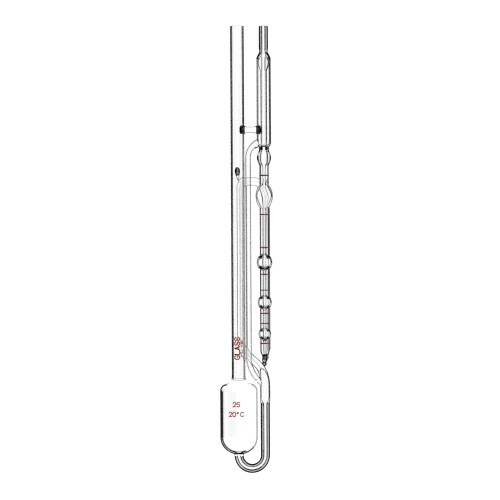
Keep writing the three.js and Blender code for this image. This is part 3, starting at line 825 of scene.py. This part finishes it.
def paint_glass_shade(glass):
    """Gives every face of the fused glass the kind of glass it belongs to, which sets its painted shade.
    """
    kinds = list(PAINTED_EDGE_SHADES)
    glass.data.materials.clear()
    for kind in kinds:
        glass.data.materials.append(painted_shade_glass_material(kind))
    for face in glass.data.polygons:
        place = (face.center - Vector((0, 0, FOOT_Z))) / MM
        face.material_index = kinds.index(painted_shade_kind(place))


def enamel_material(deep, pale):
    """Fired red enamel, grained between a deep and a pale tone."""
    material, tree, shader = new_material("red_enamel")
    shader.inputs["Roughness"].default_value = 0.45
    grain = tree.nodes.new("ShaderNodeTexNoise")
    grain.inputs["Scale"].default_value = 900.0
    grain.inputs["Detail"].default_value = 4.0
    ramp = ramp_node(tree, [(0.3, deep), (0.7, pale)])
    tree.links.new(grain.outputs["Fac"], ramp.inputs["Fac"])
    tree.links.new(ramp.outputs["Color"], shader.inputs["Base Color"])
    return material


# ---- Enamel -------------------------------------------------------------------------------------------

def timing_line(index, material):
    """A fired enamel line round the stem, a little uneven in width."""
    node = f"timing_mark_{index}"
    low, high = cad_box(node)
    mid, half = (low.z + high.z) / 2, (high.z - low.z) / 2
    sides, unevenness = LONG_SIDES["outside"], 0.08
    inside, outside = STEM["radius"] + ENAMEL["lift"], STEM["radius"] + ENAMEL["top"]
    loop = [(inside, -half), (outside, -half * 0.7), (outside, half * 0.7), (inside, half)]
    vertices = []
    for radius, lift in loop:
        for i in range(sides):
            angle = 2 * math.pi * i / sides
            sway = noise.noise(Vector((math.cos(angle) * 2, math.sin(angle) * 2, index + lift)))
            point = Vector((BULB_AXIS + radius * math.cos(angle), radius * math.sin(angle),
                            mid + lift + unevenness * sway))
            vertices.append(in_row_frame(point))
    line = outwards(new_object(f"timing_line_{index}", vertices, ring_faces(len(loop), sides)))
    line.data.materials.append(material)
    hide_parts(node)
    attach(line, "root")


# Enamel characters as pen strokes on a grid four wide and six high.
STROKES = {
    "0": [[(1, 0), (0, 1.5), (0, 4.5), (1, 6), (3, 6), (4, 4.5), (4, 1.5), (3, 0), (1, 0)]],
    "2": [[(0, 4.6), (1, 6), (3, 6), (4, 4.8), (4, 3.8), (0, 0), (4, 0)]],
    "5": [[(4, 6), (0.4, 6), (0, 3.4), (3, 3.6), (4, 2.4), (4, 1.2), (3, 0), (1, 0), (0, 1)]],
    "o": [[(0.6, 4), (0.6, 5.6), (2.2, 5.6), (2.2, 4), (0.6, 4)]],
    "C": [[(4, 5), (3, 6), (1, 6), (0, 4.5), (0, 1.5), (1, 0), (3, 0), (4, 1)]],
    "F": [[(0, 0), (0, 6), (4, 6)], [(0, 3.2), (3, 3.2)]],
    "A": [[(0, 0), (2, 6), (4, 0)], [(0.8, 2.2), (3.2, 2.2)]],
    "G": [[(4, 5), (3, 6), (1, 6), (0, 4.5), (0, 1.5), (1, 0), (3, 0), (4, 1.2), (4, 2.8), (2.4, 2.8)]],
    "I": [[(2, 0), (2, 6)]],
    "S": [[(4, 5), (3, 6), (1, 6), (0, 4.8), (1, 3.3), (3, 2.8), (4, 1.4), (3, 0), (1, 0), (0, 1)]],
    "L": [[(0, 6), (0, 0), (4, 0)]],
    "T": [[(0, 6), (4, 6)], [(2, 6), (2, 0)]],
    "U": [[(0, 6), (0, 1.2), (1, 0), (3, 0), (4, 1.2), (4, 6)]],
    "B": [[(0, 0), (0, 6), (3, 6), (4, 4.7), (3, 3.2), (0, 3.2)], [(3, 3.2), (4, 1.6), (3, 0), (0, 0)]],
    "E": [[(4, 6), (0, 6), (0, 0), (4, 0)], [(0, 3.2), (3, 3.2)]],
    " ": [],
}


GLYPH_WIDTH, GLYPH_HEIGHT = 4, 6


def lettering_strokes(text, height, pen_step=5.6):
    """The strokes of a line of text, centred, in millimetres."""
    unit = height / GLYPH_HEIGHT
    width = (pen_step * (len(text) - 1) + GLYPH_WIDTH) * unit
    lines = []
    for place, letter in enumerate(text):
        for stroke in STROKES[letter]:
            lines.append([((place * pen_step + u) * unit - width / 2, v * unit - height / 2)
                          for u, v in stroke])
    return lines


def pen_outline(start, end, pen):
    """The four corners of one straight pen stroke."""
    along = (end - start).normalized() * pen / 2
    across = Vector((-along.y, along.x))
    start, end = start - along, end + along
    return start - across, end - across, end + across, start + across


BLOCK_FACES = ((0, 1, 2, 3), (7, 6, 5, 4), (0, 4, 5, 1), (1, 5, 6, 2), (2, 6, 7, 3), (3, 7, 4, 0))


def enamel_lettering(name, lines, pen, tube_radius, centre, material):
    """Lettering fired onto the front of an upright tube. Each line is (text, height, (u, v), upright)."""
    vertices, faces = [], []

    def put(u, v, lift):
        angle = u / tube_radius
        radius = tube_radius + lift
        vertices.append(in_row_frame(Vector((
            centre[0] + radius * math.sin(angle), -radius * math.cos(angle), centre[1] + v))))

    for text, height, place, upright in lines:
        for stroke in lettering_strokes(text, height):
            if not upright:
                stroke = [(-v, u) for u, v in stroke]
            for start, end in zip(stroke, stroke[1:]):
                corners = pen_outline(Vector(start) + Vector(place), Vector(end) + Vector(place), pen)
                first = len(vertices)
                for lift in (ENAMEL["lift"], ENAMEL["top"]):
                    for corner in corners:
                        put(corner.x, corner.y, lift)
                faces += [tuple(first + k for k in face) for face in BLOCK_FACES]
    lettering = outwards(new_object(name, vertices, faces))
    lettering.data.materials.append(material)
    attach(lettering, "root")


# ---- Scene --------------------------------------------------------------------------------------------

DARK, BRIGHT, BACKDROP = 0.012, 1.08, 1.05
# Lit panel close behind the glass, in metres: its middle is bright and its flanks are grey.
PANEL = {"x": 0.0125, "y": 0.120, "half": 0.100, "core": 0.066, "grey": 0.3,
         "above": 0.06, "below": 0.06}
CAMERA = {"x": 0.0102, "y": -2.0, "above_foot": 0.190, "lens": 169, "sensor": 36, "roll": 0.3}
FLOOR = {"radius": 0.55, "gap": 0.0005}


def add_floor():
    """A plain pale disc just under the object, which the glass doesn't show."""
    vertices = [(FLOOR["radius"] * math.cos(a), FLOOR["radius"] * math.sin(a), FOOT_Z - FLOOR["gap"])
                for a in np.linspace(0, 2 * math.pi, 96, endpoint=False)]
    floor = new_object("floor", vertices, [tuple(range(96))])
    floor.visible_transmission = False
    floor.visible_glossy = False
    material, tree, shader = new_material("pale_floor")
    speckle = tree.nodes.new("ShaderNodeTexNoise")
    speckle.inputs["Scale"].default_value = 40.0
    ramp = ramp_node(tree, [(0.0, (0.985, 0.985, 0.985)), (1.0, (1.0, 1.0, 1.0))])
    tree.links.new(speckle.outputs["Fac"], ramp.inputs["Fac"])
    tree.links.new(ramp.outputs["Color"], shader.inputs["Base Color"])
    tree.links.new(ramp.outputs["Color"], shader.inputs["Emission Color"])
    shader.inputs["Emission Strength"].default_value = 0.9
    shader.inputs["Roughness"].default_value = 1.0
    floor.data.materials.append(material)


def add_world():
    """Soft studio light: pale panels at four sides, and a plain white backdrop."""
    world = bpy.data.worlds.new("studio")
    bpy.context.scene.world = world
    world.use_nodes = True
    tree = world.node_tree
    nodes, links = tree.nodes, tree.links

    def math_node(operation, *inputs, clamp=False):
        node = nodes.new("ShaderNodeMath")
        node.operation = operation
        node.use_clamp = clamp
        for socket, value in zip(node.inputs, inputs):
            if isinstance(value, (int, float)):
                socket.default_value = value
            else:
                links.new(value, socket)
        return node.outputs[0]

    def smooth(value, low, high, first=0.0, last=1.0):
        node = nodes.new("ShaderNodeMapRange")
        node.interpolation_type = "SMOOTHSTEP"
        links.new(value, node.inputs["Value"])
        for name, number in (("From Min", low), ("From Max", high), ("To Min", first), ("To Max", last)):
            node.inputs[name].default_value = number
        return node.outputs["Result"]

    def rise(degrees):
        """An axis component of a direction that leans this far out of the plane across the axis."""
        return math.sin(math.radians(degrees))

    direction = nodes.new("ShaderNodeTexCoord").outputs["Generated"]
    parts = nodes.new("ShaderNodeSeparateXYZ")
    links.new(direction, parts.inputs[0])
    x2 = math_node("MULTIPLY", parts.outputs["X"], parts.outputs["X"])
    y2 = math_node("MULTIPLY", parts.outputs["Y"], parts.outputs["Y"])
    share = math_node("DIVIDE", x2, math_node("ADD", x2, math_node("ADD", y2, 1e-6)))
    quartered = math_node("MULTIPLY", share, math_node("SUBTRACT", share, 1.0))
    fourfold = math_node("ADD", math_node("MULTIPLY", quartered, 8.0), 1.0)
    turned_low = smooth(parts.outputs["Z"], rise(-10), rise(-8.5), -1, 1)
    panels = smooth(math_node("MULTIPLY", fourfold, turned_low), 0.3, 0.7)
    behind = smooth(parts.outputs["Y"], rise(30), rise(40), 1, 0)
    level = smooth(parts.outputs["Z"], rise(-11), rise(-9), 1, 0)
    panels = math_node("MULTIPLY", panels, math_node("MAXIMUM", behind, level))
    height = math_node("ABSOLUTE", parts.outputs["Z"])
    band = smooth(height, rise(40), rise(55), 1, 0)
    lit = smooth(math_node("MULTIPLY", panels, band), 0, 1, DARK, BRIGHT)
    camera_ray = nodes.new("ShaderNodeLightPath").outputs["Is Camera Ray"]
    strength = math_node("MAXIMUM", lit, math_node("MULTIPLY", camera_ray, BACKDROP))
    background = nodes["Background"]
    background.inputs["Color"].default_value = (1, 1, 1, 1)
    links.new(strength, background.inputs["Strength"])


def add_light_panel():
    """A tall narrow lit panel close behind the glass, which gives its edges their dark lines."""
    x, y, half = PANEL["x"], PANEL["y"], PANEL["half"]
    low, high = FOOT_Z - PANEL["below"], CAD_BOX[1].z + PANEL["above"]
    corners = [(x - half, y, low), (x + half, y, low), (x + half, y, high), (x - half, y, high)]
    panel = new_object("light_panel", corners, [(0, 1, 2, 3)])
    panel.visible_camera = False
    panel.visible_shadow = False
    material = bpy.data.materials.new("light_panel")
    material.use_nodes = True
    nodes = material.node_tree.nodes
    nodes.clear()
    links = material.node_tree.links
    across = nodes.new("ShaderNodeSeparateXYZ")
    links.new(nodes.new("ShaderNodeTexCoord").outputs["Generated"], across.inputs[0])
    edge = 0.5 - 0.5 * PANEL["core"] / half
    grey = PANEL["grey"] / BRIGHT
    ramp = ramp_node(material.node_tree, [
        (0.0, (grey, grey, grey)), (edge - 0.01, (grey, grey, grey)), (edge + 0.01, (1, 1, 1)),
        (1 - edge - 0.01, (1, 1, 1)), (1 - edge + 0.01, (grey, grey, grey))])
    links.new(across.outputs["X"], ramp.inputs["Fac"])
    light = nodes.new("ShaderNodeEmission")
    light.inputs["Strength"].default_value = BRIGHT
    links.new(ramp.outputs["Color"], light.inputs["Color"])
    output = nodes.new("ShaderNodeOutputMaterial")
    links.new(light.outputs[0], output.inputs["Surface"])
    panel.data.materials.append(material)


def add_camera():
    """A long lens square to the front, at the middle of the object's height."""
    camera = bpy.data.cameras.new("camera")
    camera.sensor_width = CAMERA["sensor"]
    camera.lens = CAMERA["lens"]
    camera.clip_end = 20
    holder = bpy.data.objects.new("camera", camera)
    bpy.context.scene.collection.objects.link(holder)
    holder.location = (CAMERA["x"], CAMERA["y"], FOOT_Z + CAMERA["above_foot"])
    holder.rotation_euler = (math.radians(90), math.radians(CAMERA["roll"]), 0)
    bpy.context.scene.camera = holder


def set_up_view():
    """Plain colours, and enough bounces for light to cross all the walls of the glass."""
    scene = bpy.context.scene
    scene.view_settings.view_transform = "Standard"
    scene.cycles.max_bounces = 40
    scene.cycles.transmission_bounces = 40
    scene.cycles.glossy_bounces = 16
    scene.cycles.caustics_refractive = True
    scene.cycles.filter_width = 1.15


add_camera()
add_world()
add_light_panel()
add_floor()
set_up_view()

glass = fused_glass()
paint_glass_shade(glass)
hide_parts(*GLASS_NODES)
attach(glass, "root")

enamel = enamel_material((0.20, 0.035, 0.02), (0.34, 0.07, 0.035))
for index in range(1, 9):
    timing_line(index, enamel)

lettering_enamel = enamel_material((0.56, 0.06, 0.015), (0.74, 0.14, 0.04))
enamel_lettering("reservoir_marks", [("25", 3.6, (-2.0, 4.3), True), ("20oC", 3.6, (-2.2, -4.0), True)],
                 0.8, RESERVOIR["radius"], (0, 55.0), lettering_enamel)
enamel_lettering("fill_tube_marks", [("GLASS", 4.2, (-1.2, 0), False)],
                 1.0, FILL["radius"], (0, 106.5), lettering_enamel)
enamel_lettering("fill_tube_small_marks", [("FILL TUBE", 1.7, (3.0, 0), False)],
                 0.45, FILL["radius"], (0, 106.5), lettering_enamel)
